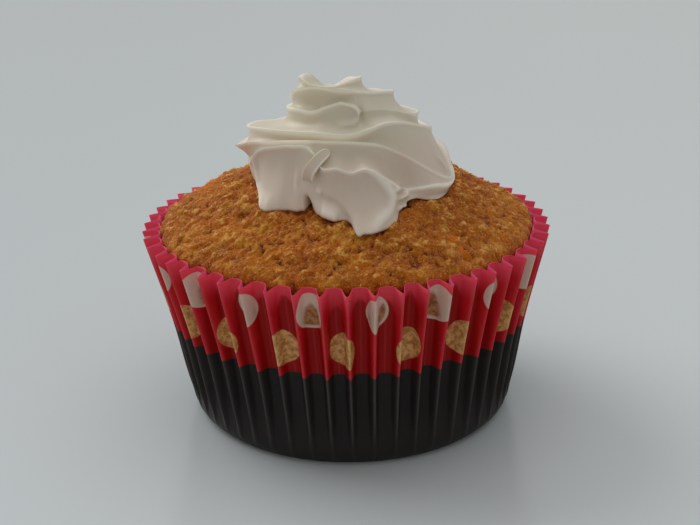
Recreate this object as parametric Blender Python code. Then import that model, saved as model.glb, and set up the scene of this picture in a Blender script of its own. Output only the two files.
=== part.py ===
"""A cupcake: a domed cake baked in a pleated paper case, with a swirl of cream piped on top.

Metres, +Z up. The case stands on Z = 0 with its axis on Z, and the front of the swirl faces -Y.
Places round the axis are in turns, clockwise from above: 0 is the back, 0.25 the right (+X),
0.5 the front and 0.75 the left.
"""

import math

import bmesh
import bpy
import numpy as np

MM = 0.001
GAP = 0.3 * MM  # kept clear between two pieces that touch

# Paper case. The wall's profile follows the outer edges of the pleats.
PLEATS = 52
STEPS_PER_PLEAT = 4
PAPER = 0.3 * MM
RIM_RADIUS = 35.5 * MM
CASE_HEIGHT = 33.2 * MM
PRINT_RADIUS = 31.6 * MM
PRINT_HEIGHT = 17.4 * MM  # where the black band ends and the red begins
FOOT_RADIUS = 29.2 * MM
FOOT_HEIGHT = 5.0 * MM
CORNER_RADIUS = 28.1 * MM
CORNER_HEIGHT = 1.2 * MM
FLOOR_RADIUS = 26.8 * MM
RIM_PLEAT_DEPTH = 2.7 * MM
PLEAT_FADE = 0.38  # the power by which the pleats deepen up to the rim
PLEAT_START = 11.0 * MM  # up to here they grow out of the smooth floor
GROOVE_POWER = 3.2  # the higher, the broader the grooves and the thinner the ridges between
GROOVE_RISE = 0.4 * MM  # how much higher the paper stands in the grooves at the rim
LEAN = 0.0197  # the case leans to the left as it rises; its rim is centred on Z

# Cake. Its crown is a paraboloid, rounded off just inside the rim.
CROWN_HEIGHT = 44.0 * MM
CROWN_FALL = 9.6 * MM  # from the middle down to CROWN_RADIUS
CROWN_RADIUS = 31.7 * MM
SHOULDER_RADIUS = 31.0 * MM
CAKE_SECTORS = 64

# Cream. Its axis leans a little to the left as it rises.
CREAM_AXIS_X = 0.3 * MM
CREAM_LEAN = 0.11
CREAM_FOOT_HEIGHT = 41.0 * MM
COLUMNS = 82  # round each turn
FRONT_CROWDING = 0.45  # columns stand closer at the front, where the folds are
BAND_STEPS = 3  # from one turn of the ridge to the next

# Outline of the cream on the cake: (turn, radius in mm), with three lobes at the front.
FOOT = (
    (0.0, 17.6), (0.12, 17.6), (0.25, 17.8), (0.31, 18.5), (0.335, 19.0), (0.36, 19.1), (0.38, 18.0),
    (0.398, 16.8), (0.414, 18.4), (0.432, 20.0), (0.45, 22.6), (0.488, 23.8), (0.5, 20.9), (0.53, 20.0),
    (0.545, 18.6), (0.555, 15.6), (0.5645, 19.0), (0.614, 20.7), (0.648, 17.6), (0.7, 16.3), (0.75, 16.4),
    (0.87, 17.2), (1.0, 17.6),
)

# The ridge that winds up the swirl, one row a turn from the back round by the right, the front and
# the left: (turn, radius, height), the last two in mm. Each row runs on into the next.
RIDGE = (
    (
        (0.0, 17.8, 42.4), (0.125, 18.0, 42.7), (0.25, 18.3, 42.4), (0.29, 18.7, 41.7), (0.33, 18.9, 42.3),
        (0.37, 18.4, 43.0), (0.40, 17.5, 43.2), (0.4375, 19.3, 46.0), (0.467, 19.2, 48.1), (0.525, 18.8, 48.2),
        (0.545, 17.3, 50.5), (0.61, 17.1, 50.4), (0.65, 17.3, 48.8), (0.70, 16.6, 45.4), (0.75, 16.4, 44.7),
        (0.875, 17.0, 44.5),
    ),
    (
        (0.0, 17.6, 45.0), (0.125, 17.6, 45.2), (0.22, 17.7, 45.8), (0.255, 17.9, 45.0), (0.295, 18.5, 42.4),
        (0.34, 18.1, 44.3), (0.386, 16.8, 48.1), (0.42, 15.5, 50.3), (0.464, 15.0, 51.4), (0.517, 15.0, 51.8),
        (0.608, 15.1, 51.0), (0.67, 16.9, 49.8), (0.75, 18.3, 47.0), (0.875, 17.0, 47.2),
    ),
    (
        (0.0, 16.2, 48.2), (0.125, 15.7, 48.8), (0.25, 15.5, 49.7), (0.3125, 15.2, 51.6), (0.36, 13.7, 53.0),
        (0.436, 13.0, 52.8), (0.553, 13.0, 52.5), (0.63, 13.4, 52.1), (0.75, 15.8, 50.5), (0.875, 14.9, 48.9),
    ),
    (
        (0.0, 13.3, 50.3), (0.125, 13.3, 51.2), (0.25, 13.5, 52.4), (0.33, 11.6, 54.1), (0.41, 10.2, 55.2),
        (0.472, 9.2, 56.6), (0.567, 9.2, 55.1), (0.625, 9.0, 55.0), (0.75, 8.4, 53.9), (0.875, 9.3, 53.0),
    ),
    (
        (0.0, 9.4, 53.6), (0.125, 9.6, 54.8), (0.25, 9.7, 56.2), (0.375, 8.7, 57.5), (0.5, 7.0, 58.4),
        (0.6, 7.0, 58.5), (0.75, 7.7, 55.3), (0.875, 6.4, 55.2),
    ),
    (
        (0.0, 5.3, 56.2), (0.125, 5.1, 57.9), (0.25, 4.4, 58.7), (0.375, 3.3, 58.6), (0.5, 2.7, 58.0),
        (0.66, 4.6, 57.9), (0.75, 5.6, 59.4), (0.84, 4.4, 57.8), (0.94, 2.4, 57.1),
    ),
)
TIP = (0.8, 57.3)
# How far in mm the cream hollows in (below 0, swells out) above the foot and above each turn.
HOLLOWS = (-0.2, 0.8, 1.3, 1.5, 1.4, 0.8, 0.3, 0.1)


def clear_scene():
    for obj in list(bpy.data.objects):
        bpy.data.objects.remove(obj, do_unlink=True)


def material(name, colour, roughness):
    made = bpy.data.materials.new(name)
    made.use_nodes = True
    shader = made.node_tree.nodes["Principled BSDF"]
    shader.inputs["Base Color"].default_value = (*colour, 1.0)
    shader.inputs["Roughness"].default_value = roughness
    return made


def add_object(name, mesh, *materials):
    obj = bpy.data.objects.new(name, mesh)
    bpy.context.scene.collection.objects.link(obj)
    for item in materials:
        mesh.materials.append(item)
    return obj


# ---------------------------------------------------------------- paper case


def wall_profile():
    """(radius, height) along the outer edges of the pleats, from the floor's edge to the rim."""
    return (
        (FLOOR_RADIUS, 0.0),
        (CORNER_RADIUS, CORNER_HEIGHT),
        (FOOT_RADIUS, FOOT_HEIGHT),
        (PRINT_RADIUS, PRINT_HEIGHT),
        (RIM_RADIUS, CASE_HEIGHT),
    )


def soft_step(low, high, value):
    share = min(max((value - low) / (high - low), 0.0), 1.0)
    return share * share * (3 - 2 * share)


def pleat_depth(height):
    full = RIM_PLEAT_DEPTH * (height / CASE_HEIGHT) ** PLEAT_FADE
    return full * soft_step(0.0, PLEAT_START, height)


def lean(height):
    """How far the case's middle is to the right at this height."""
    return LEAN * (CASE_HEIGHT - height)


def pleated_ring(radius, height):
    """Thin ridges outside, with a broad groove between each two."""
    count = PLEATS * STEPS_PER_PLEAT
    depth = pleat_depth(height)
    ring = []
    for step in range(count):
        angle = 2 * math.pi * step / count
        part = (step % STEPS_PER_PLEAT) / STEPS_PER_PLEAT
        groove = 1 - abs(2 * part - 1) ** GROOVE_POWER
        out = radius - depth * groove
        level = height + GROOVE_RISE * groove * height / CASE_HEIGHT
        ring.append((out * math.sin(angle) + lean(level), out * math.cos(angle), level))
    return ring


def make_paper_case():
    red = material("red_paper", (0.20, 0.010, 0.018), 0.45)
    black = material("black_paper", (0.012, 0.010, 0.009), 0.4)
    rings = [pleated_ring(radius, height) for radius, height in wall_profile()]
    count = len(rings[0])
    points = [point for ring in rings for point in ring]
    faces = [tuple(range(count))]
    for level in range(len(rings) - 1):
        for step in range(count):
            low, low_next = level * count + step, level * count + (step + 1) % count
            faces.append((low, low + count, low_next + count, low_next))
    mesh = bpy.data.meshes.new("paper_case")
    mesh.from_pydata(points, [], faces)
    obj = add_object("paper_case", mesh, red, black)
    for face in mesh.polygons:
        face.material_index = 1 if face.center.z < PRINT_HEIGHT else 0
    thickness = obj.modifiers.new("paper", "SOLIDIFY")
    thickness.thickness = PAPER
    thickness.offset = -1.0
    return obj


# ---------------------------------------------------------------------- cake


def crown(radius):
    return CROWN_HEIGHT - CROWN_FALL * (radius / CROWN_RADIUS) ** 2


def inside_of_case(height):
    """The radius that clears the grooves' inner faces at this height."""
    radii, heights = zip(*wall_profile())
    edge = float(np.interp(height, heights, radii))
    return edge - pleat_depth(height) - PAPER - GAP


def cake_profile():
    """(radius, height) from the middle of the underside, up the side and over the crown."""
    floor = PAPER + GAP
    side = (CORNER_HEIGHT + 0.6 * MM, FOOT_HEIGHT, PRINT_HEIGHT, 31.4 * MM)
    points = [(0.0, floor), (FLOOR_RADIUS - 1.2 * MM, floor)]
    points += [(inside_of_case(height) - 0.2 * MM, height) for height in side]
    points.append((inside_of_case(CASE_HEIGHT), 33.6 * MM))
    shoulder = [SHOULDER_RADIUS * part for part in (1.0, 0.9, 0.78, 0.64, 0.48, 0.3, 0.14)]
    points += [(radius, crown(radius)) for radius in shoulder]
    points.append((0.0, crown(0.0)))
    return points


def make_cake():
    crumb = material("cake", (0.36, 0.16, 0.045), 0.85)
    shape = bmesh.new()
    profile = [shape.verts.new((radius, 0.0, height)) for radius, height in cake_profile()]
    edges = [shape.edges.new(pair) for pair in zip(profile, profile[1:])]
    bmesh.ops.spin(
        shape,
        geom=profile + edges,
        cent=(0, 0, 0),
        axis=(0, 0, 1),
        angle=2 * math.pi,
        steps=CAKE_SECTORS,
        use_merge=True,
    )
    bmesh.ops.remove_doubles(shape, verts=shape.verts, dist=0.01 * MM)
    for vertex in shape.verts:
        vertex.co.x += max(lean(vertex.co.z), 0.0)
    bmesh.ops.recalc_face_normals(shape, faces=shape.faces)
    mesh = bpy.data.meshes.new("cake")
    shape.to_mesh(mesh)
    shape.free()
    mesh.shade_smooth()
    return add_object("cake", mesh, crumb)


# --------------------------------------------------------------------- cream


def smooth_through(places, values, at):
    """A smooth curve through the values (one row for each place), read at an array of places."""
    places = np.asarray(places, float)
    values = np.asarray(values, float).reshape(len(places), -1)
    slopes = np.gradient(values, places, axis=0)
    start = np.clip(np.searchsorted(places, at) - 1, 0, len(places) - 2)
    step = (places[start + 1] - places[start])[:, None]
    t = (at - places[start])[:, None] / step
    return (
        values[start] * (2 * t**3 - 3 * t**2 + 1)
        + values[start + 1] * (3 * t**2 - 2 * t**3)
        + slopes[start] * step * (t**3 - 2 * t**2 + t)
        + slopes[start + 1] * step * (t**3 - t**2)
    )


def axis_x(height):
    return CREAM_AXIS_X - CREAM_LEAN * (height - CREAM_FOOT_HEIGHT)


def around(turns, radius, height):
    angle = 2 * np.pi * turns
    return np.stack([radius * np.sin(angle), radius * np.cos(angle), height], 1)


def on_cake(points):
    """The points lifted to rest on the crown where they would be inside it."""
    floor = crown(np.hypot(points[:, 0], points[:, 1])) + GAP
    points[:, 2] = np.maximum(points[:, 2], floor)
    return points


def foot_points(turns):
    places, radii = zip(*FOOT)
    radius = smooth_through(places, radii, turns)[:, 0] * MM
    points = around(turns, radius, 0 * turns)
    points[:, 0] += CREAM_AXIS_X
    return on_cake(points)


def ridge_points(turns):
    """The ridge's crest, counted in turns from where it leaves the foot at the back."""
    stops = [stop[1:] for row in RIDGE for stop in row] + [TIP]
    places = [row + turn for row, in_turn in enumerate(RIDGE) for turn, *_ in in_turn] + [len(RIDGE)]
    radius, height = smooth_through(places, stops, np.clip(turns, 0.0, places[-1])).T * MM
    points = around(turns, radius, height)
    points[:, 0] += axis_x(points[:, 2])
    low = turns < 0
    if low.any():
        points[low] = foot_points(turns[low] + 1)
    return points


def band_points(turns, part):
    """The band between the ridge and its next turn above, hollowed towards the axis."""
    low = ridge_points(turns)
    high = ridge_points(turns + 1)
    points = low + (high - low) * part
    hollow = np.interp(turns + 1, range(len(HOLLOWS)), HOLLOWS) * MM
    inward = np.stack([axis_x(points[:, 2]) - points[:, 0], -points[:, 1], 0 * turns], 1)
    inward /= np.maximum(np.linalg.norm(inward, axis=1), MM)[:, None]
    run = np.sum((high - low) * inward, axis=1)
    rise = high[:, 2] - low[:, 2]
    length = np.maximum(np.hypot(run, rise), 0.5 * MM)
    hollow *= np.clip(length / (2.5 * MM), 0.0, 1.0)
    square = inward * np.maximum(rise / length, 0.0)[:, None]
    square[:, 2] -= np.clip(run / length, 0.0, 1.0)
    return points + square * (hollow * 4 * part * (1 - part))[:, None]


def make_cream():
    """A band wound up from the cake to the tip: each turn's upper edge is the next turn's lower."""
    white = material("cream", (0.80, 0.74, 0.64), 0.4)
    last = COLUMNS * (len(RIDGE) + 1)
    turns = np.arange(last + 1) / COLUMNS
    # The columns stand closer at the front; the first is at the foot's start, one turn down.
    turns = turns - 1 + FRONT_CROWDING * np.sin(2 * np.pi * turns) / (2 * np.pi)
    rows = [on_cake(band_points(turns, step / BAND_STEPS)) for step in range(BAND_STEPS)]
    points, grid = [], {}
    for column in range(last + 1):
        for step in range(BAND_STEPS):
            if column in (0, last) and step:
                grid[column, step] = grid[column, 0]
            elif column == COLUMNS and step == 0:
                grid[column, 0] = grid[0, 0]
            else:
                grid[column, step] = len(points)
                points.append(rows[step][column])
    for column in range(last + 1):
        grid[column, BAND_STEPS] = grid[min(column + COLUMNS, last), 0]

    faces = []
    for column in range(last):
        for step in range(BAND_STEPS):
            corners = (
                grid[column, step],
                grid[column, step + 1],
                grid[column + 1, step + 1],
                grid[column + 1, step],
            )
            corners = tuple(dict.fromkeys(corners))
            if len(corners) > 2:
                faces.append(corners)

    outline = [grid[column, 0] for column in range(COLUMNS)]
    ring = outline
    for share in (0.78, 0.52, 0.26):
        inner = list(range(len(points), len(points) + COLUMNS))
        points.extend(on_cake(np.array([points[place] * (share, share, 0) for place in outline])))
        for side in range(COLUMNS):
            after = (side + 1) % COLUMNS
            faces.append((ring[side], ring[after], inner[after], inner[side]))
        ring = inner
    middle = len(points)
    points.append((0.0, 0.0, crown(0.0) + GAP))
    for side in range(COLUMNS):
        faces.append((ring[side], ring[(side + 1) % COLUMNS], middle))

    mesh = bpy.data.meshes.new("cream")
    mesh.from_pydata([tuple(point) for point in points], [], faces)
    mesh.shade_smooth()
    return add_object("cream", mesh, white)


clear_scene()
make_paper_case()
make_cake()
make_cream()
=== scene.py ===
"""The looks of the cupcake: its pleated paper case, crumbly cake and piped cream.

Metres, +Z up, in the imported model's frame: the case stands on Z = 0 with its axis on Z, and the
front of the swirl faces -Y. Places round the axis are in turns, clockwise from above: 0 is the
back, 0.25 the right (+X), 0.5 the front and 0.75 the left.
"""

import math

import bpy
import numpy as np
from mathutils import Matrix, Vector, noise


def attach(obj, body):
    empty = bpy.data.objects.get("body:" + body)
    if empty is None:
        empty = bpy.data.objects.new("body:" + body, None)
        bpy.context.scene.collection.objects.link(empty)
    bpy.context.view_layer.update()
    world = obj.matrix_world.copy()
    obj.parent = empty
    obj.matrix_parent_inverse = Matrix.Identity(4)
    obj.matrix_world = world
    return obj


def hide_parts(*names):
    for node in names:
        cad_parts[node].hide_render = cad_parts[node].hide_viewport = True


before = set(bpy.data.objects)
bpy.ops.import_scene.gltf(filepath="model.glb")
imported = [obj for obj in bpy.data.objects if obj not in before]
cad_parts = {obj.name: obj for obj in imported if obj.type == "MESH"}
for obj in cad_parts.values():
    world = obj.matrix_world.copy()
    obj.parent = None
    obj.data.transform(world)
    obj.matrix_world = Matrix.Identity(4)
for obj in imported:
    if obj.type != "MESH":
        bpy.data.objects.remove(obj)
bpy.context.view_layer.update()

MM = 0.001
GAP = 0.3 * MM

# Paper case, as in the model. The wall's profile follows the outer edges of the pleats.
PLEATS = 52
RIM_RADIUS = 35.5 * MM
CASE_HEIGHT = 33.2 * MM
PRINT_RADIUS = 31.6 * MM
PRINT_HEIGHT = 17.4 * MM
FOOT_RADIUS = 29.2 * MM
FOOT_HEIGHT = 5.0 * MM
CORNER_RADIUS = 28.1 * MM
CORNER_HEIGHT = 1.2 * MM
FLOOR_RADIUS = 26.8 * MM
RIM_PLEAT_DEPTH = 2.7 * MM
PLEAT_FADE = 0.38
PLEAT_START = 11.0 * MM  # up to here the pleats grow out of the smooth floor
WALL_END = 0.25  # where the wall between a ridge and a groove ends, as a share of a pleat
GROOVE_RISE = 0.4 * MM  # how much higher the paper stands in the grooves at the rim
CASE_LEAN = 0.0197  # the case leans to the left as it rises; its rim is centred on Z
PAPER = 0.12 * MM
# Columns of the mesh from a ridge to the middle of the groove beside it, as shares of a pleat.
HALF_PLEAT = (0.0, 0.03, 0.055, 0.08, 0.105, 0.13, 0.155, 0.185, 0.22, 0.28, 0.35, 0.43)
WALL_ROWS = 38

# Print: a grid of dots on the flat paper, in two staggered rows.
DOTS_ROUND = 20
DOT_RADIUS = 3.25 * MM
UPPER_DOTS = 4.2 * MM  # below the rim, along the paper
LOWER_DOTS = 11.3 * MM
DOT_TURN = 0.479  # where one upper dot stands

# Cake.
CROWN_HEIGHT = 44.0 * MM
CROWN_FALL = 9.6 * MM
CROWN_RADIUS = 31.7 * MM
SHOULDER_RADIUS = 31.2 * MM
CRUMB_SEED = 11  # unseeded, the crumb would bend differently in each run
# Down from the shoulder inside the paper: (radius, height) in mm.
EDGE = (
    (31.6, 34.3), (31.9, 34.0), (32.15, 33.6), (32.3, 33.1), (32.25, 32.6), (31.9, 31.5), (31.0, 28.6), (25.0, 5.0),
)

# Cream.
CREAM_AXIS_X = 0.3 * MM
CREAM_LEAN = 0.11
CREAM_FOOT_HEIGHT = 41.0 * MM
COLUMNS = 560
FRONT_CROWDING = 0.3
BAND_STEPS = 22
# Outline of the cream on the cake: (turn, radius in mm), with three lobes at the front.
FOOT = (
    (0.0, 17.6), (0.06, 18.2), (0.12, 17.4), (0.18, 18.2), (0.25, 17.8), (0.31, 18.5), (0.335, 19.0),
    (0.359, 19.1), (0.38, 18.0), (0.393, 17.0), (0.403, 16.9), (0.4096, 17.4), (0.414, 18.4), (0.424, 18.8),
    (0.432, 20.0), (0.439, 21.5), (0.4505, 22.7), (0.466, 23.4), (0.482, 23.7), (0.491, 23.8),
    (0.495, 21.8), (0.5, 20.9), (0.515, 20.7), (0.531, 20.0), (0.545, 18.8), (0.5515, 17.4), (0.5550, 15.4),
    (0.5580, 18.3), (0.564, 19.0), (0.5855, 19.4), (0.6025, 20.1), (0.614, 20.7), (0.621, 20.3),
    (0.648, 17.6), (0.693, 16.3), (0.75, 16.4), (0.81, 17.4), (0.87, 16.6), (0.94, 17.9), (1.0, 17.6),
)
# The ridge that winds up the swirl, one row a turn from the back round by the right, the front and
# the left: (turn, radius, height, hollow above it) in mm. Below 0, a hollow swells out instead.
RIDGE = (
    (
        (0.0, 17.8, 42.4, 0.5), (0.125, 18.0, 42.7, 0.5), (0.21, 18.2, 42.8, 0.4), (0.25, 18.3, 42.4, 0.2),
        (0.29, 18.7, 41.7, 0.0), (0.33, 18.9, 42.3, -0.1), (0.36, 18.7, 43.0, 0.0), (0.38, 18.0, 43.0, 0.3),
        (0.395, 17.3, 43.0, 0.7), (0.415, 18.2, 43.8, 1.2), (0.4375, 19.3, 46.0, 1.5), (0.456, 19.3, 47.6, 1.5),
        (0.4667, 19.2, 48.1, 1.5), (0.489, 19.0, 47.6, 1.4), (0.508, 19.0, 48.3, 1.3), (0.525, 18.8, 48.2, 1.1),
        (0.532, 17.9, 48.5, 0.9), (0.540, 16.7, 49.8, 0.6), (0.549, 16.7, 50.9, 0.6), (0.572, 17.1, 51.1, 0.6), (0.611, 17.1, 50.4, 0.6),
        (0.65, 17.3, 48.8, 0.7), (0.672, 17.2, 46.8, 0.9), (0.70, 16.6, 45.4, 0.9), (0.75, 16.4, 44.7, 0.8),
        (0.875, 17.0, 44.5, 0.9),
    ),
    (
        (0.0, 17.6, 45.0, 1.2), (0.125, 17.6, 45.2, 1.2), (0.20, 17.6, 45.7, 1.4), (0.235, 17.7, 45.8, 1.6),
        (0.255, 17.9, 45.0, 1.3), (0.275, 18.2, 43.4, 0.4), (0.295, 18.5, 42.4, -0.4), (0.315, 18.5, 42.8, -0.4),
        (0.34, 18.1, 44.3, 0.0), (0.36, 17.5, 45.9, 0.5), (0.386, 16.8, 48.1, 1.2), (0.42, 15.5, 50.3, 1.6),
        (0.464, 15.0, 51.4, 1.6), (0.517, 15.0, 51.8, 1.6), (0.608, 15.1, 51.0, 1.6), (0.67, 16.9, 49.8, 1.4),
        (0.715, 18.0, 48.2, 1.2), (0.75, 18.3, 47.0, 1.2), (0.80, 17.9, 46.6, 1.2), (0.875, 17.0, 47.2, 1.3),
    ),
    (
        (0.0, 16.2, 48.2, 1.4), (0.125, 15.7, 48.8, 1.4), (0.25, 15.5, 49.7, 1.2), (0.3125, 15.2, 51.6, 1.0),
        (0.358, 13.7, 53.0, 0.6), (0.405, 13.0, 53.3, 0.8), (0.436, 13.0, 52.8, 1.2), (0.47, 13.0, 52.3, 1.5),
        (0.553, 13.0, 52.5, 1.7), (0.63, 13.4, 52.1, 2.0), (0.6875, 14.5, 51.6, 2.2), (0.75, 15.8, 50.5, 2.1),
        (0.81, 15.6, 49.7, 1.7), (0.875, 14.9, 48.9, 1.4),
    ),
    (
        (0.0, 13.3, 50.3, 1.1), (0.125, 13.3, 51.2, 1.1), (0.25, 13.5, 52.4, 1.1), (0.29, 12.7, 53.0, 0.7),
        (0.33, 11.6, 54.1, 0.3), (0.37, 10.8, 54.9, 0.1), (0.41, 10.2, 55.2, 0.1), (0.433, 9.6, 55.1, 0.4),
        (0.446, 9.6, 56.0, 1.1), (0.472, 9.2, 56.6, 1.8), (0.528, 9.2, 56.0, 2.3), (0.567, 9.2, 55.1, 2.6),
        (0.625, 9.0, 55.0, 2.3), (0.6875, 8.8, 54.6, 1.4), (0.75, 8.4, 53.9, 0.7), (0.81, 8.8, 53.3, 0.7),
        (0.875, 9.3, 53.0, 0.8),
    ),
    (
        (0.0, 9.4, 53.6, 0.8), (0.125, 9.6, 54.8, 1.2), (0.25, 9.7, 56.2, 1.5), (0.3125, 9.2, 57.0, 1.3),
        (0.375, 8.7, 57.5, 1.0), (0.433, 7.4, 57.9, 0.7), (0.5, 7.0, 58.4, 0.6), (0.6, 7.0, 58.5, 0.6),
        (0.6875, 7.2, 57.1, 0.6), (0.75, 7.7, 55.3, 0.4), (0.81, 7.0, 55.0, 0.4), (0.875, 6.4, 55.2, 0.5),
    ),
    (
        (0.0, 5.3, 56.2, 0.5), (0.03, 5.2, 56.8, 0.5), (0.075, 5.2, 57.5, 0.5), (0.125, 5.1, 57.9, 0.5),
        (0.19, 4.8, 58.4, 0.5), (0.25, 4.4, 58.7, 0.4), (0.3125, 3.9, 58.8, 0.4), (0.375, 3.3, 58.6, 0.3),
        (0.4375, 2.9, 58.3, 0.2), (0.5, 2.7, 58.0, 0.2), (0.58, 3.2, 57.9, 0.1), (0.64, 4.3, 57.8, 0.1),
        (0.70, 5.5, 57.6, 0.1), (0.75, 5.9, 57.7, 0.1), (0.80, 5.3, 57.5, 0.1), (0.87, 3.9, 57.1, 0.0),
        (0.94, 2.4, 57.1, 0.0),
    ),
)
TIP = (0.8, 57.3, 0.0)
# Rounded peaks where the nozzle left the cream: (x, y, height, width) in mm.
PEAKS = ((-6.1, -0.6, 2.1, 2.1),)
# How the lowest band, from the foot to the first ridge, hollows in (below 0, swells out) in mm.
LOBE_HOLLOWS = (
    (0.0, -0.5), (0.25, -0.3), (0.33, -0.6), (0.39, 0.0), (0.43, -0.3), (0.47, 0.9), (0.5, 1.0), (0.53, 0.5),
    (0.555, 0.2), (0.575, 0.9), (0.61, 1.0), (0.65, 0.6), (0.69, 0.2), (0.75, -0.2), (1.0, -0.5),
)
CORNER_SPREAD = 0.035  # the foot's corners fade out over this share of the way up the lobes
CORNER_FADE = 0.3
CREST = 0.34  # how far the ridge's lip stands up, in mm
CREST_WIDTH = 0.32
NO_LIP = (3.27, 3.44)  # between these turns the fourth row fades into one broad face
# Small folds, each pushed out along a line of (azimuth in degrees right of the front, height):
# how far (below 0, pressed in), how wide, and the line.
FOLDS = (
    (0.7, 0.6, ((-60.0, 47.8), (-58.5, 45.5), (-54.0, 43.4), (-47.0, 41.8), (-42.0, 40.0))),
    (0.9, 0.9, ((13.0, 48.0), (17.0, 46.8), (20.0, 45.3), (22.0, 43.4), (19.5, 41.9), (13.5, 40.9), (6.0, 38.2))),
    (-1.0, 0.4, ((-19.6, 39.5), (-19.8, 41.5), (-20.2, 43.0))),
    (0.3, 0.45, ((-24.4, 47.2), (-25.6, 45.6), (-24.9, 44.2), (-22.5, 43.2))),
    (0.6, 0.8, ((-14.5, 44.7), (-11.0, 44.3))),
    (-0.55, 0.6, ((-10.0, 43.4), (-5.0, 42.9), (-2.0, 42.0), (0.5, 40.4))),
    (0.8, 1.2, ((-12.5, 41.7), (-8.0, 41.3), (-4.0, 40.7))),
    (0.6, 0.4, ((24.0, 44.4), (32.5, 44.2))),
    (0.6, 0.4, ((26.0, 42.9), (34.5, 42.8))),
    (0.6, 0.4, ((24.0, 41.3), (31.0, 41.3))),
    (-0.45, 0.35, ((25.0, 43.6), (34.0, 43.5))),
    (-0.45, 0.35, ((25.0, 42.1), (33.0, 42.0))),
    (0.75, 0.5, ((8.0, 56.9), (14.0, 56.6), (19.5, 55.9), (21.5, 54.9), (19.0, 54.0), (13.0, 53.5), (0.0, 53.2))),
    (-0.5, 0.6, ((25.5, 56.0), (26.5, 54.9), (24.0, 53.6))),
    (0.35, 0.45, ((64.0, 46.8), (67.0, 45.6), (67.5, 44.2), (66.0, 42.8))),
)
# A thin fold that stands up out of the gap between the lobes and hooks over to the right:
# (azimuth, height, radius, half width).
FINGER = (
    (-19.4, 42.4, 14.6, 0.4), (-19.9, 44.2, 16.1, 0.75), (-18.9, 46.1, 17.85, 0.95), (-16.1, 47.9, 18.4, 1.0),
    (-12.3, 49.3, 17.95, 0.92), (-8.5, 50.3, 17.2, 0.85), (-5.6, 50.7, 16.55, 0.65),
)
FINGER_RISE = 0.55
FINGER_ROOT = 2.0
FINGER_TROUGH = 0.2  # how high its middle stands between the rims, as a share

# Camera.
DISTANCE = 240.0 * MM
TARGET = (0.6 * MM, 18.0 * MM)  # x and height
ELEVATION = math.radians(22.64)
AIM_ABOVE = math.radians(1.605)
ROLL = math.radians(0.893)
LENS = 68.6


# ------------------------------------------------------------------- helpers


def add_piece(name, points, faces, *materials):
    mesh = bpy.data.meshes.new(name)
    mesh.from_pydata([tuple(point) for point in points], [], faces)
    mesh.shade_smooth()
    obj = bpy.data.objects.new(name, mesh)
    bpy.context.scene.collection.objects.link(obj)
    for item in materials:
        mesh.materials.append(item)
    return obj


def add_values(obj, name, values):
    """Stores one triple of numbers a vertex, for the material to read."""
    store = obj.data.attributes.new(name, "FLOAT_VECTOR", "POINT")
    store.data.foreach_set("vector", np.asarray(values, np.float32).ravel())


def smooth_through(places, values, at):
    """A smooth curve through the values (one row for each place), read at an array of places."""
    places = np.asarray(places, float)
    values = np.asarray(values, float)
    slopes = np.gradient(values, places, axis=0)
    start = np.clip(np.searchsorted(places, at) - 1, 0, len(places) - 2)
    step = places[start + 1] - places[start]
    t = (at - places[start]) / step
    if values.ndim > 1:
        t, step = t[:, None], step[:, None]
    return (
        values[start] * (2 * t**3 - 3 * t**2 + 1)
        + values[start + 1] * (3 * t**2 - 2 * t**3)
        + slopes[start] * step * (t**3 - 2 * t**2 + t)
        + slopes[start + 1] * step * (t**3 - t**2)
    )


def soft_step(low, high, value):
    t = np.clip((value - low) / (high - low), 0.0, 1.0)
    return t * t * (3 - 2 * t)


class Nodes:
    """A short way to write a material's nodes."""

    def __init__(self, name):
        self.material = bpy.data.materials.new(name)
        self.material.use_nodes = True
        self.tree = self.material.node_tree
        self.shader = self.tree.nodes["Principled BSDF"]

    def add(self, kind, inputs=None, **settings):
        node = self.tree.nodes.new(kind)
        for key, value in settings.items():
            setattr(node, key, value)
        for key, value in (inputs or {}).items():
            self.put(node.inputs[key], value)
        return node

    def put(self, socket, value):
        if isinstance(value, bpy.types.NodeSocket):
            self.tree.links.new(value, socket)
        elif isinstance(value, tuple) and len(socket.default_value) > len(value):
            socket.default_value = (*value, 1.0)
        else:
            socket.default_value = value

    def math(self, operation, *values, clamp=False):
        node = self.add("ShaderNodeMath", operation=operation, use_clamp=clamp)
        for index, value in enumerate(values):
            self.put(node.inputs[index], value)
        return node.outputs[0]

    def step(self, value, low, high):
        """0 below low and 1 above high, smooth between."""
        node = self.add(
            "ShaderNodeMapRange",
            {"Value": value, "From Min": low, "From Max": high},
            interpolation_type="SMOOTHSTEP",
        )
        return node.outputs["Result"]

    def mix(self, factor, first, second, blend="MIX"):
        node = self.add("ShaderNodeMix", data_type="RGBA", blend_type=blend)
        self.put(node.inputs[0], factor)
        for socket, value in ((node.inputs[6], first), (node.inputs[7], second)):
            self.put(socket, value)
        return node.outputs[2]

    def noise(self, scale, detail=2.0, roughness=0.5, vector=None):
        node = self.add(
            "ShaderNodeTexNoise", {"Scale": scale, "Detail": detail, "Roughness": roughness}
        )
        self.put(node.inputs["Vector"], vector or self.place())
        return node.outputs["Fac"]

    def place(self):
        return self.add("ShaderNodeTexCoord").outputs["Object"]

    def coordinate(self, axis):
        parts = self.add("ShaderNodeSeparateXYZ")
        self.put(parts.inputs[0], self.place())
        return parts.outputs[axis]

    def bump(self, height, distance, strength=1.0):
        node = self.add(
            "ShaderNodeBump", {"Height": height, "Distance": distance, "Strength": strength}
        )
        self.put(self.shader.inputs["Normal"], node.outputs["Normal"])

    def finish(self, **inputs):
        for key, value in inputs.items():
            self.put(self.shader.inputs[key.replace("_", " ").title().replace("Ior", "IOR")], value)
        return self.material


# --------------------------------------------------------------------- stage


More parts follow.
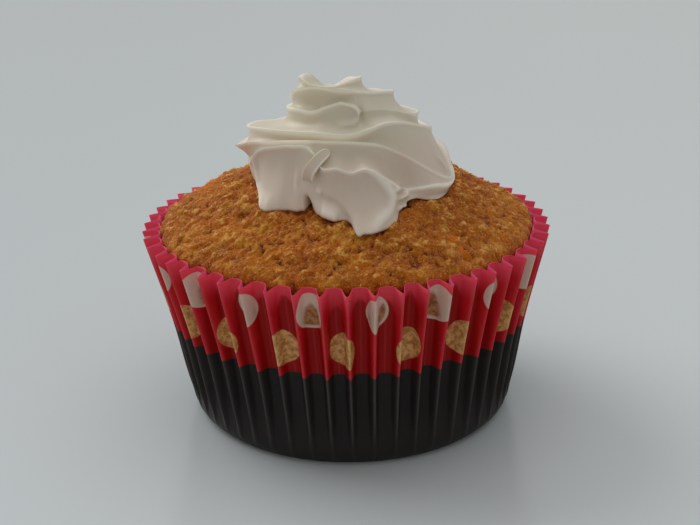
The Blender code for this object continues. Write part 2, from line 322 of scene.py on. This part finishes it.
def make_camera():
    x, height = TARGET
    place = Vector((x, -DISTANCE * math.cos(ELEVATION), height + DISTANCE * math.sin(ELEVATION)))
    pitch = ELEVATION - AIM_ABOVE
    ahead = Vector((0, math.cos(pitch), -math.sin(pitch)))
    level = Vector((1, 0, 0))
    upright = level.cross(ahead)
    up = upright * math.cos(ROLL) + level * math.sin(ROLL)
    right = level * math.cos(ROLL) - upright * math.sin(ROLL)
    data = bpy.data.cameras.new("camera")
    data.lens = LENS
    data.sensor_width = 36.0
    data.clip_start = 0.01
    camera = bpy.data.objects.new("camera", data)
    bpy.context.scene.collection.objects.link(camera)
    camera.matrix_world = Matrix(
        (
            (right.x, up.x, -ahead.x, place.x),
            (right.y, up.y, -ahead.y, place.y),
            (right.z, up.z, -ahead.z, place.z),
            (0, 0, 0, 1),
        )
    )
    bpy.context.scene.camera = camera


def add_sun(name, watts, spread, azimuth, elevation, colour):
    """A soft sun; azimuth is in degrees, clockwise from the back seen from above."""
    data = bpy.data.lights.new(name, "SUN")
    data.energy = watts
    data.angle = math.radians(spread)
    data.color = colour
    light = bpy.data.objects.new(name, data)
    bpy.context.scene.collection.objects.link(light)
    turn, rise = math.radians(azimuth), math.radians(elevation)
    towards = Vector((math.sin(turn) * math.cos(rise), math.cos(turn) * math.cos(rise), math.sin(rise)))
    light.rotation_euler = towards.to_track_quat("Z", "Y").to_euler()


def make_stage():
    scene = bpy.context.scene
    scene.view_settings.view_transform = "Standard"
    world = bpy.data.worlds.new("world")
    scene.world = world
    world.use_nodes = True
    sky = world.node_tree.nodes["Background"]
    sky.inputs["Color"].default_value = (0.86, 0.84, 0.80, 1)
    sky.inputs["Strength"].default_value = 0.47
    add_sun("window", 1.1, 45, -52, 34, (1.0, 0.98, 0.94))
    add_sun("sky", 0.65, 80, 0, 66, (0.94, 0.98, 1.0))
    n = Nodes("floor")
    floor = add_piece("floor", [(-3, -3, 0), (3, -3, 0), (3, 3, 0), (-3, 3, 0)], [(0, 1, 2, 3)])
    # Painted light: the floor is painted a little lighter towards the right.
    right = n.step(n.coordinate(0), -0.10, 0.10)
    colour = n.mix(right, (0.60, 0.655, 0.69), (0.64, 0.69, 0.715))
    floor.data.materials.append(n.finish(base_color=colour, roughness=0.22, specular_ior_level=0.3))


# ---------------------------------------------------------------- paper case


def wall_profile():
    """(radius, height) along the outer edges of the pleats, from the floor's edge to the rim."""
    return (
        (FLOOR_RADIUS, 0.0),
        (CORNER_RADIUS, CORNER_HEIGHT),
        (FOOT_RADIUS, FOOT_HEIGHT),
        (PRINT_RADIUS, PRINT_HEIGHT),
        (RIM_RADIUS, CASE_HEIGHT),
    )


def pleat_depth(height):
    share = np.maximum(height, 0.0) / CASE_HEIGHT
    return RIM_PLEAT_DEPTH * share**PLEAT_FADE * soft_step(0.0, PLEAT_START, height)


def wall_rows():
    """Heights, radii and lengths along the paper from the floor's edge, for each row of the wall."""
    radii, heights = (np.array(values) for values in zip(*wall_profile()))
    run = np.concatenate([[0.0], np.cumsum(np.hypot(np.diff(radii), np.diff(heights)))])
    along = run[-1] * np.linspace(0.0, 1.0, WALL_ROWS) ** 1.15
    points = smooth_through(run, np.stack([radii, heights], 1), along)
    return np.maximum(points[:, 1], 0.0), points[:, 0], along


def make_paper_case():
    rng = np.random.default_rng(11)
    heights, radii, along = wall_rows()
    shares = np.array(HALF_PLEAT + (0.5,) + tuple(1 - share for share in HALF_PLEAT[:0:-1]))
    steps_per_pleat = len(shares)
    count = PLEATS * steps_per_pleat
    pleat = np.arange(count) // steps_per_pleat
    part = np.tile(shares, PLEATS)
    from_ridge = np.minimum(part, 1 - part)
    groove = 0.9 * soft_step(0.0, WALL_END, from_ridge) + 0.1 * soft_step(0.08, 0.5, from_ridge)
    shift = rng.normal(0, 0.035, PLEATS)
    shift_here = shift[pleat] * (1 - part) + shift[(pleat + 1) % PLEATS] * part
    deeper = rng.normal(1.0, 0.06, PLEATS)[pleat]
    turn = (pleat + part + shift_here) / PLEATS
    depth = pleat_depth(heights)
    radius = radii[:, None] - depth[:, None] * groove[None] * np.minimum(deeper, 1.08)[None]
    # Length along the folded paper, as a share of one pleat, at each column.
    steps = np.hypot(
        np.diff(radius, axis=1, append=radius[:, :1]),
        radii[:, None] * 2 * np.pi * np.diff(turn, append=turn[0] + 1)[None],
    )
    along_pleat = np.zeros_like(steps)
    for index in range(PLEATS):
        cells = slice(index * steps_per_pleat, (index + 1) * steps_per_pleat)
        run = np.cumsum(steps[:, cells], axis=1)
        along_pleat[:, cells] = (run - steps[:, cells]) / run[:, -1:]
    flat_turn = (pleat[None] + along_pleat) / PLEATS
    flat_radius = np.broadcast_to(FLOOR_RADIUS + along[:, None], flat_turn.shape)

    angle = 2 * np.pi * turn
    level = heights[:, None] + GROOVE_RISE * (heights[:, None] / CASE_HEIGHT) ** 2 * groove[None]
    lean = CASE_LEAN * (CASE_HEIGHT - level)
    outer = np.stack([radius * np.sin(angle) + lean, radius * np.cos(angle), level], 2)
    inside = radius - PAPER
    level = level + PAPER * (heights < PAPER)[:, None]
    inner = np.stack([inside * np.sin(angle) + lean, inside * np.cos(angle), level], 2)
    flat = np.stack(
        [flat_radius * np.sin(2 * np.pi * flat_turn), flat_radius * np.cos(2 * np.pi * flat_turn)], 2
    )
    # Where the cake lies against the paper: in the middle of the grooves, wider further down.
    start = np.interp(heights, [0, 20 * MM, 26 * MM, 32 * MM], [-0.08, -0.02, 0.04, 0.10])
    touch = soft_step(start[:, None], start[:, None] + 0.22, from_ridge[None])
    top = (32.3 + rng.normal(0, 0.5, PLEATS)[pleat] - 16 * (0.5 - from_ridge) ** 2) * MM
    touch = touch * soft_step(0.0, 2.6 * MM, top[None] - heights[:, None])

    rows = len(heights)
    points = list(outer.reshape(-1, 3)) + list(inner.reshape(-1, 3))
    values = [(*f, t) for f, t in zip(flat.reshape(-1, 2), touch.ravel())]
    values = values + values
    # Near a ridge, and on the fold in a groove's middle, for the material's painted highlights along them.
    ridge = np.tile(1 - soft_step(0.0, 0.10, from_ridge), rows)
    crease = np.tile(np.where(part == 0.5, 1.0, 0.0), rows)
    sides = [(0.0, r, c) for r, c in zip(ridge, crease)] + [(1.0, r, c) for r, c in zip(ridge, crease)]
    faces = []
    back = rows * count
    for row in range(rows - 1):
        for step in range(count):
            low, after = row * count + step, row * count + (step + 1) % count
            faces.append((low, low + count, after + count, after))
            faces.append((back + low, back + after, back + after + count, back + low + count))
    top = (rows - 1) * count
    for step in range(count):
        after = (step + 1) % count
        faces.append((top + step, back + top + step, back + top + after, top + after))
    faces.append(tuple(range(count)))
    faces.append(tuple(back + step for step in reversed(range(count))))
    case = add_piece("pleated_case", points, faces, paper_material())
    add_values(case, "paper", values)
    add_values(case, "side", sides)
    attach(case, "root")
    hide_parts("paper_case")
    return case


def dots(n, turn, radius, ring, offset, size=DOT_RADIUS, edge=0.12 * MM):
    """1 inside the dots of one row, in the flat paper's polar coordinates."""
    place = n.math("ADD", n.math("MULTIPLY", turn, float(DOTS_ROUND)), offset)
    across = n.math("SUBTRACT", n.math("FRACT", place), 0.5)
    across = n.math("MULTIPLY", across, n.math("MULTIPLY", radius, 2 * math.pi / DOTS_ROUND))
    up = n.math("SUBTRACT", radius, ring)
    away = n.math("SQRT", n.math("ADD", n.math("POWER", across, 2.0), n.math("POWER", up, 2.0)))
    return n.math("SUBTRACT", 1.0, n.step(away, size - edge, size + edge))


def paper_material():
    n = Nodes("printed_paper")
    parts = n.add("ShaderNodeSeparateXYZ")
    n.put(parts.inputs[0], n.add("ShaderNodeAttribute", attribute_name="paper").outputs["Vector"])
    side = n.add("ShaderNodeSeparateXYZ")
    n.put(side.inputs[0], n.add("ShaderNodeAttribute", attribute_name="side").outputs["Vector"])
    x, y, touch = parts.outputs
    inside, ridge, crease = side.outputs
    radius = n.math("SQRT", n.math("ADD", n.math("POWER", x, 2.0), n.math("POWER", y, 2.0)))
    turn = n.math("MULTIPLY", n.math("ARCTAN2", x, y), 1 / (2 * math.pi))
    turn = n.math("FRACT", n.math("ADD", turn, 1.0))
    heights, radii, along = wall_rows()
    rim = FLOOR_RADIUS + float(along[-1])
    print_line = FLOOR_RADIUS + float(np.interp(PRINT_HEIGHT, heights, along))
    upper = dots(n, turn, radius, rim - UPPER_DOTS, 0.5 - DOT_TURN * DOTS_ROUND)
    heart = dots(n, turn, radius, rim - UPPER_DOTS, 0.5 - DOT_TURN * DOTS_ROUND, DOT_RADIUS - 0.5 * MM, 0.3 * MM)
    lower = dots(n, turn, radius, rim - LOWER_DOTS, -DOT_TURN * DOTS_ROUND)
    dotted = n.math("MAXIMUM", upper, lower)

    mottle = n.noise(700.0, 3.0, 0.6)
    crumbs = n.noise(1100.0, 4.0, 0.65)
    wet = n.step(n.math("ADD", touch, n.math("MULTIPLY", n.math("SUBTRACT", mottle, 0.5), 0.5)), 0.15, 0.85)
    # Painted light: the dry paper is painted lighter pink towards the rim, for light shining through the thin paper
    # there.
    rim_share = n.step(radius, rim - 4.5 * MM, rim - 0.5 * MM)
    dry = n.mix(rim_share, (0.58, 0.011, 0.018), (0.80, 0.062, 0.105))
    red = n.mix(wet, dry, (0.36, 0.0040, 0.0035))
    # Painted highlights: lighter lines along the pleat ridges, and fainter ones along the fold in the middle of
    # each groove.
    red = n.mix(n.math("MULTIPLY", ridge, 0.4), red, (0.85, 0.10, 0.13))
    red = n.mix(n.math("MULTIPLY", crease, 0.22), red, (0.80, 0.07, 0.08))
    between = rim - 0.5 * (UPPER_DOTS + LOWER_DOTS)
    high = n.step(radius, between - 0.5 * MM, between + 0.5 * MM)
    grain = n.step(crumbs, 0.38, 0.62)
    golden = n.mix(grain, (0.48, 0.195, 0.055), (0.80, 0.46, 0.18))
    # Painted highlight: the lower dots are lighter along the pleat ridges.
    golden = n.mix(n.math("MULTIPLY", ridge, 0.4), golden, (0.84, 0.60, 0.26))
    stain = n.mix(grain, (0.28, 0.09, 0.035), (0.50, 0.24, 0.10))
    bare = n.mix(high, golden, n.mix(n.math("MULTIPLY", wet, heart), (0.74, 0.56, 0.46), stain))
    above = n.mix(dotted, red, bare)
    black = n.mix(touch, (0.038, 0.034, 0.032), (0.025, 0.022, 0.021))
    # Painted highlight: grey lines along the ridges of the black band, fading out towards the floor.
    fade = n.step(radius, FLOOR_RADIUS + 3 * MM, FLOOR_RADIUS + 12 * MM)
    black = n.mix(n.math("MULTIPLY", ridge, n.math("MULTIPLY", fade, 0.55)), black, (0.10, 0.092, 0.083))
    below = n.step(radius, print_line - 0.15 * MM, print_line + 0.15 * MM)
    outside = n.mix(below, black, above)
    back = n.mix(below, (0.10, 0.06, 0.06), n.mix(dotted, (0.88, 0.125, 0.28), (0.88, 0.18, 0.34)))
    colour = n.mix(inside, outside, back)
    n.bump(n.noise(2500.0, 2.0), 0.02 * MM, 0.5)
    return n.finish(
        base_color=colour,
        roughness=0.45,
        specular_ior_level=0.13,
        subsurface_weight=0.2,
        subsurface_radius=(1.0, 0.3, 0.4),
        subsurface_scale=0.25 * MM,
    )


# ---------------------------------------------------------------------- cake


def crown(radius):
    return CROWN_HEIGHT - CROWN_FALL * (radius / CROWN_RADIUS) ** 2


def crumb_relief(at):
    """How far (mm) the crumb stands out at a point (mm), from broad waves down to grains."""
    wave = noise.noise(at * 0.13) * 0.7 + noise.noise(at * 0.33 + Vector((4, 1, 8))) * 0.4
    bent = at + noise.noise_vector(at * 0.8) * 0.5
    clump = noise.voronoi(bent * 0.42 + Vector((3, 9, 5)))[0]
    grain = noise.voronoi(bent * 1.05 + Vector((6, 2, 7)))[0]
    lumps = 0.95 * (0.5 - clump[0]) + 0.7 * (0.45 - grain[0])
    rough = noise.noise(at * 1.1 + Vector((1, 5, 2))) * 0.22 + noise.noise(at * 2.7) * 0.14
    hole = noise.noise(bent * 0.5 + Vector((9, 2, 6))) + 0.6 * noise.noise(bent * 1.3)
    return wave * 1.15, lumps + rough - 0.6 * float(soft_step(0.50, 0.85, hole))


def make_cake():
    noise.seed_set(CRUMB_SEED)
    count = 860
    rings = [(0.0, crown(0.0))]
    rings += [(radius, crown(radius)) for radius in np.linspace(3 * MM, 13 * MM, 6)]
    rings += [(radius, crown(radius)) for radius in np.linspace(13.5 * MM, SHOULDER_RADIUS, 84)]
    rings += [(radius * MM, height * MM) for radius, height in EDGE]
    rings += [(0.0, 3.0 * MM)]
    points, faces, starts = [], [], []
    for radius, height in rings:
        starts.append(len(points))
        if radius == 0.0:
            points.append((0.0, 0.0, height))
            continue
        for step in range(count):
            angle = 2 * math.pi * step / count
            points.append((radius * math.sin(angle), radius * math.cos(angle), height))
    for ring in range(len(rings) - 1):
        first, second = starts[ring], starts[ring + 1]
        for step in range(count):
            after = (step + 1) % count
            if rings[ring][0] == 0.0:
                faces.append((first, second + after, second + step))
            elif rings[ring + 1][0] == 0.0:
                faces.append((first + step, first + after, second))
            else:
                faces.append((first + step, first + after, second + after, second + step))
    crumb, reliefs = [], []
    for x, y, z in points:
        if z < 29 * MM:
            crumb.append((x + CASE_LEAN * (CASE_HEIGHT - z), y, z))
            reliefs.append(0.0)
            continue
        wave, relief = crumb_relief(Vector((x, y, z)) / MM)
        reliefs.append(relief)
        rise = (0.8 * wave + relief) * MM * float(soft_step(29 * MM, 33 * MM, z))
        out = Vector((x, y, 0.0)) * (0.6 / (31 * MM)) + Vector((0, 0, 1))
        out.normalize()
        crumb.append((x + out.x * rise, y + out.y * rise, z + out.z * rise))
    cake = add_piece("crumb", crumb, faces, cake_material())
    # The relief also drives the crumb's painted shade and highlight.
    add_values(cake, "relief", [(relief, 0, 0) for relief in reliefs])
    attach(cake, "root")
    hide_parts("cake")
    return cake


def cake_material():
    n = Nodes("golden_crumb")
    parts = n.add("ShaderNodeSeparateXYZ")
    n.put(parts.inputs[0], n.add("ShaderNodeAttribute", attribute_name="relief").outputs["Vector"])
    relief = parts.outputs[0]
    broad = n.noise(150.0, 3.0, 0.55)
    fine = n.noise(1500.0, 4.0, 0.7)
    grains = n.noise(3000.0, 2.0, 0.6)
    fruit = n.noise(125.0, 1.0, 0.4)
    cells = n.add("ShaderNodeTexVoronoi", {"Vector": n.place(), "Scale": 1100.0, "Randomness": 1.0})
    shade = n.add("ShaderNodeSeparateXYZ")
    n.put(shade.inputs[0], cells.outputs["Color"])
    height = n.math("ADD", relief, n.math("MULTIPLY", n.math("SUBTRACT", fine, 0.5), 0.8))
    height = n.math("ADD", height, n.math("MULTIPLY", n.math("SUBTRACT", shade.outputs[0], 0.5), 0.35))
    colour = n.mix(n.step(broad, 0.35, 0.65), (0.44, 0.106, 0.003), (0.62, 0.185, 0.008))
    patch = n.noise(330.0, 2.0, 0.55)
    colour = n.mix(n.math("MULTIPLY", n.step(patch, 0.53, 0.68), 0.6), colour, (0.60, 0.15, 0.006))
    colour = n.mix(n.math("MULTIPLY", n.step(patch, 0.47, 0.33), 0.5), colour, (0.74, 0.34, 0.030))
    # Painted shade and highlight: the crumb is darker where it sinks in and lighter where it stands out.
    colour = n.mix(n.step(height, -0.80, -0.12), (0.25, 0.048, 0.001), colour)
    colour = n.mix(n.step(height, 0.08, 0.60), colour, (0.92, 0.47, 0.10))
    # Darker and lighter specks of grain; the lighter specks are partly painted glints.
    colour = n.mix(n.math("MULTIPLY", n.step(grains, 0.45, 0.32), 0.45), colour, (0.26, 0.060, 0.003))
    colour = n.mix(n.math("MULTIPLY", n.step(grains, 0.57, 0.70), 0.5), colour, (0.92, 0.58, 0.22))
    colour = n.mix(n.step(fruit, 0.68, 0.74), colour, (0.72, 0.18, 0.004))
    rough = n.math("ADD", n.math("MULTIPLY", grains, 0.8), n.math("MULTIPLY", fine, 1.2))
    n.bump(rough, 0.25 * MM, 1.0)
    return n.finish(
        base_color=colour,
        roughness=0.65,
        specular_ior_level=0.12,
        sheen_weight=0.2,
        sheen_roughness=0.45,
        sheen_tint=(1.0, 0.85, 0.65),
    )


# --------------------------------------------------------------------- cream


def axis_x(height):
    return CREAM_AXIS_X - CREAM_LEAN * (height - CREAM_FOOT_HEIGHT)


def around(turns, radius, height):
    angle = 2 * np.pi * turns
    return np.stack([radius * np.sin(angle), radius * np.cos(angle), height], 1)


def on_cake(points):
    """The points lifted to rest on the crown where they would be inside it."""
    floor = crown(np.hypot(points[:, 0], points[:, 1])) + GAP
    points[:, 2] = np.maximum(points[:, 2], floor)
    return points


def foot_points(turns, spread=0.0):
    """The outline on the cake; spread evens out its corners over so many turns to each side."""
    places, radii = zip(*FOOT)
    reach = np.linspace(-spread, spread, 41 if spread else 1)
    radius = np.mean([smooth_through(places, radii, (turns + by) % 1) for by in reach], axis=0)
    points = around(turns, radius * MM, np.zeros_like(turns))
    points[:, 0] += CREAM_AXIS_X
    return on_cake(points)


def ridge_stops():
    """Places in turns and (radius, height, hollow) of all the ridge's stops, up to the tip."""
    places = [turn + row for row, stops in enumerate(RIDGE) for turn, *_ in stops] + [len(RIDGE)]
    return places, [stop[1:] for stops in RIDGE for stop in stops] + [TIP]


def ridge_points(turns):
    """The ridge's crest, counted in turns from where it leaves the foot at the back."""
    places, stops = ridge_stops()
    radius, height, _ = smooth_through(places, stops, np.clip(turns, 0.0, places[-1])).T * MM
    behind = soft_step(0.22, 0.05, turns % 1) + soft_step(0.78, 0.95, turns % 1)
    fade = behind * np.clip(turns * 2, 0, 1) * np.clip((len(RIDGE) - turns) / 3, 0, 1)
    radius = radius + 0.45 * MM * fade * np.sin(2 * np.pi * turns * 8.3)
    height = height + 0.30 * MM * fade * np.sin(2 * np.pi * turns * 8.3 + 1.2)
    points = around(turns, radius, height)
    points[:, 0] += axis_x(points[:, 2])
    low = turns < 0
    if low.any():
        points[low] = foot_points(turns[low] + 1)
    return points


def hollow_above(turns):
    places, stops = ridge_stops()
    hollow = np.interp(turns, places, [stop[2] for stop in stops])
    lobe = np.interp(turns + 1, *zip(*LOBE_HOLLOWS))
    share = soft_step(-0.04, 0.04, turns)
    return (hollow * share + lobe * (1 - share)) * MM


def band_points(turns, part):
    """The band between the ridge and its next turn above, hollowed square to its slope.

    Also how near each point is to a crest (1) or the bottom of a hollow (below 0), which the material turns into a
    painted highlight on crests and painted shade in hollows.
    """
    low = ridge_points(turns)
    high = ridge_points(turns + 1)
    even = low.copy()
    lobes = turns < 0
    if lobes.any():
        even[lobes] = foot_points(turns[lobes] + 1, CORNER_SPREAD)
    low = even + (low - even) * (1 - float(soft_step(0.0, CORNER_FADE, part)))
    points = low + (high - low) * part
    outward = np.stack([points[:, 0] - axis_x(points[:, 2]), points[:, 1], 0 * turns], 1)
    outward /= np.maximum(np.linalg.norm(outward, axis=1), 0.3 * MM)[:, None]
    inward_run = -np.sum((high - low) * outward, axis=1)
    rise = (high - low)[:, 2]
    length = np.maximum(np.hypot(inward_run, rise), 0.1 * MM)
    corner = np.clip((inward_run / length) ** 2, 0.34, 0.62)
    corner = np.where(turns < 0, 0.72, corner)
    skewed = part ** (np.log(0.5) / np.log(corner))
    bell = 1 - np.abs(2 * skewed - 1) ** 2.3
    push = hollow_above(turns) * bell * soft_step(0.2 * MM, 2.0 * MM, length)
    square = -outward * np.maximum(rise / length, 0.0)[:, None]
    square[:, 2] -= np.clip(inward_run / length, 0.0, 1.0)
    above = soft_step(-0.05, 0.05, turns) if part < 0.5 else 1.0
    from_crest = min(part, 1 - part) * length / MM
    crest = turns if part < 0.5 else turns + 1
    start, end = NO_LIP
    above = above * (1 - soft_step(start, start + 0.05, crest) * soft_step(end, end - 0.015, crest))
    above = above * np.clip((len(RIDGE) - 0.5 - turns) * 2, 0, 1)
    lip = CREST * MM * np.exp(-((from_crest / CREST_WIDTH) ** 2)) * above
    points = points + square * push[:, None] + outward * (0.75 * lip)[:, None]
    points[:, 2] += 0.6 * lip
    # Painted highlight near the crests and painted shade in deep hollows, through the crest value.
    edge = np.exp(-((from_crest / (1.3 * CREST_WIDTH)) ** 2)) * above
    return points, edge - 0.5 * np.clip(push / (1.6 * MM), 0.0, 1.0)


def line_distance(azimuth, height, line):
    """How far (mm) points of the lobes' face are from a line, and how far along it (0 to 1)."""
    best = np.full(len(azimuth), np.inf)
    share = np.zeros(len(azimuth))
    per_degree = 18.5 * math.pi / 180
    for index, ((az_0, z_0), (az_1, z_1)) in enumerate(zip(line, line[1:])):
        x, y = (azimuth - az_0) * per_degree, height - z_0
        run, rise = (az_1 - az_0) * per_degree, z_1 - z_0
        t = np.clip((x * run + y * rise) / (run**2 + rise**2), 0.0, 1.0)
        away = np.hypot(x - t * run, y - t * rise)
        share = np.where(away < best, (index + t) / (len(line) - 1), share)
        best = np.minimum(best, away)
    return best, share


def fold_in(points, edge):
    """Adds the small folds to the front of the swirl."""
    from_axis = points[:, 0] - axis_x(points[:, 2])
    radius = np.hypot(from_axis, points[:, 1])
    azimuth = np.degrees(np.arctan2(from_axis, -points[:, 1]))
    height = points[:, 2] / MM
    push = np.zeros(len(points))
    for out, width, line in FOLDS:
        away, share = line_distance(azimuth, height, line)
        ends = np.minimum(1.0, 0.35 + 4 * np.minimum(share, 1 - share))
        push += out * ends * np.exp(-((away / width) ** 2))
    near = np.where(height < 52.4, soft_step(14.5 * MM, 16.0 * MM, radius), soft_step(8.5 * MM, 9.5 * MM, radius))
    outward = np.stack([from_axis, points[:, 1], 0 * radius], 1) / np.maximum(radius, MM)[:, None]
    points = points + outward * (push * near * MM)[:, None]
    # Folds pushed out get a painted highlight and pressed-in ones painted shade.
    edge = np.clip(edge + 0.9 * push * near, -0.6, 1.0)
    for x, y, rise, width in PEAKS:
        away = np.hypot(points[:, 0] / MM - x, points[:, 1] / MM - y)
        top = soft_step(54.5, 57.0, height)
        points[:, 2] += rise * MM * top * np.exp(-((away / width) ** 2.6))
    return on_cake(points), edge


def add_finger(points, faces):
    """Adds the thin hooked fold between the lobes, as a closed shell rooted in the cream.

    Returns how near its rims each of its points is, for a painted highlight on the rims.
    """
    steps, sides = 56, 48
    share = np.linspace(0.0, 1.0, steps)
    azimuth, height, radius, half = smooth_through(np.linspace(0, 1, len(FINGER)), FINGER, share).T
    angle = np.radians(azimuth)
    height, radius, half = height * MM, radius * MM, half * MM
    middle = np.stack([axis_x(height) + radius * np.sin(angle), -radius * np.cos(angle), height], 1)
    outward = np.stack([np.sin(angle), -np.cos(angle), 0.3 + 0 * angle], 1)
    outward /= np.linalg.norm(outward, axis=1)[:, None]
    across = np.cross(np.gradient(middle, axis=0), outward)
    across /= np.linalg.norm(across, axis=1)[:, None]
    slim = np.sqrt(1.001 - np.abs(2 * share - 1) ** 7)
    first = len(points)
    edges = []
    for step in range(steps):
        for side in range(sides):
            turn = 2 * math.pi * side / sides
            share_across = math.cos(turn)
            out = math.sin(turn) * FINGER_ROOT
            if side * 2 < sides:
                rims = FINGER_TROUGH + (1 - FINGER_TROUGH) * abs(share_across) ** 6
                out = FINGER_RISE * rims * (1 - share_across**20)
            wide = half[step] * share_across * slim[step]
            # Painted highlight along the rims, and slight painted shade between them.
            edges.append(1.4 * abs(share_across) ** 5 - 0.1)
            points.append(middle[step] + across[step] * wide + outward[step] * (out * MM * slim[step]))
    for step in range(steps - 1):
        low = first + step * sides
        for side in range(sides):
            after = (side + 1) % sides
            faces.append((low + side, low + sides + side, low + sides + after, low + after))
    faces.append(tuple(first + side for side in range(sides)))
    faces.append(tuple(first + (steps - 1) * sides + side for side in reversed(range(sides))))
    return edges


def make_cream():
    last = COLUMNS * (len(RIDGE) + 1)
    column = np.arange(last + 1)
    turns = column / COLUMNS
    turns = turns - 1 + FRONT_CROWDING * np.sin(2 * np.pi * turns) / (2 * np.pi)
    shares = [step / BAND_STEPS for step in range(BAND_STEPS)]
    rows = [fold_in(*band_points(turns, share)) for share in shares]
    points, edges, grid = [], [], {}
    for place in range(last + 1):
        for step in range(BAND_STEPS):
            if place in (0, last) and step:
                grid[place, step] = grid[place, 0]
            elif place == COLUMNS and step == 0:
                grid[place, 0] = grid[0, 0]
            else:
                grid[place, step] = len(points)
                points.append(rows[step][0][place])
                edges.append(rows[step][1][place])
    for place in range(last + 1):
        grid[place, BAND_STEPS] = grid[min(place + COLUMNS, last), 0]
    faces = []
    for place in range(last):
        for step in range(BAND_STEPS):
            corners = (
                grid[place, step],
                grid[place, step + 1],
                grid[place + 1, step + 1],
                grid[place + 1, step],
            )
            corners = tuple(dict.fromkeys(corners))
            if len(corners) > 2:
                faces.append(corners)
    ring = [grid[place, 0] for place in range(COLUMNS)]
    for share in (0.92, 0.7, 0.35):
        inner = []
        for place in range(COLUMNS):
            x, y, _ = points[grid[place, 0]]
            inner.append(len(points))
            points.append(on_cake(np.array([[x * share, y * share, 0.0]]))[0])
        for side in range(COLUMNS):
            after = (side + 1) % COLUMNS
            faces.append((ring[side], ring[after], inner[after], inner[side]))
        ring = inner
    middle = len(points)
    points.append(np.array((0.0, 0.0, crown(0.0) + GAP)))
    for side in range(COLUMNS):
        faces.append((ring[side], ring[(side + 1) % COLUMNS], middle))
    edges += [0.0] * (len(points) - len(edges))
    edges += add_finger(points, faces)
    cream = add_piece("piped_cream", points, faces, cream_material())
    # The crest values give painted highlights on crests and painted shade in hollows.
    add_values(cream, "crest", [(edge, 0, 0) for edge in edges])
    soften = cream.modifiers.new("soften", "SMOOTH")
    soften.factor = 0.5
    soften.iterations = 1
    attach(cream, "root")
    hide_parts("cream")
    return cream


def cream_material():
    n = Nodes("whipped_cream")
    parts = n.add("ShaderNodeSeparateXYZ")
    n.put(parts.inputs[0], n.add("ShaderNodeAttribute", attribute_name="crest").outputs["Vector"])
    # Painted light: the lower cream is painted pinker and a little darker than the upper, for light reflected from
    # the red case and less light from above.
    up = n.step(n.coordinate(2), 47 * MM, 53 * MM)
    hollow_shade = n.mix(up, (0.71, 0.605, 0.50), (0.73, 0.67, 0.53))
    plain = n.mix(up, (0.775, 0.665, 0.56), (0.755, 0.70, 0.575))
    crest = n.mix(up, (0.94, 0.865, 0.76), (0.97, 0.92, 0.79))
    # Painted shade in the hollows and painted highlight on the crests.
    colour = n.mix(n.step(parts.outputs[0], -0.6, 0.1), hollow_shade, plain)
    colour = n.mix(n.step(parts.outputs[0], 0.1, 0.9), colour, crest)
    n.bump(n.noise(260.0, 2.0, 0.4), 0.15 * MM, 0.4)
    return n.finish(
        base_color=colour,
        roughness=0.38,
        subsurface_weight=0.3,
        subsurface_radius=(1.0, 0.7, 0.5),
        subsurface_scale=0.7 * MM,
    )


make_camera()
make_stage()
make_paper_case()
make_cake()
make_cream()
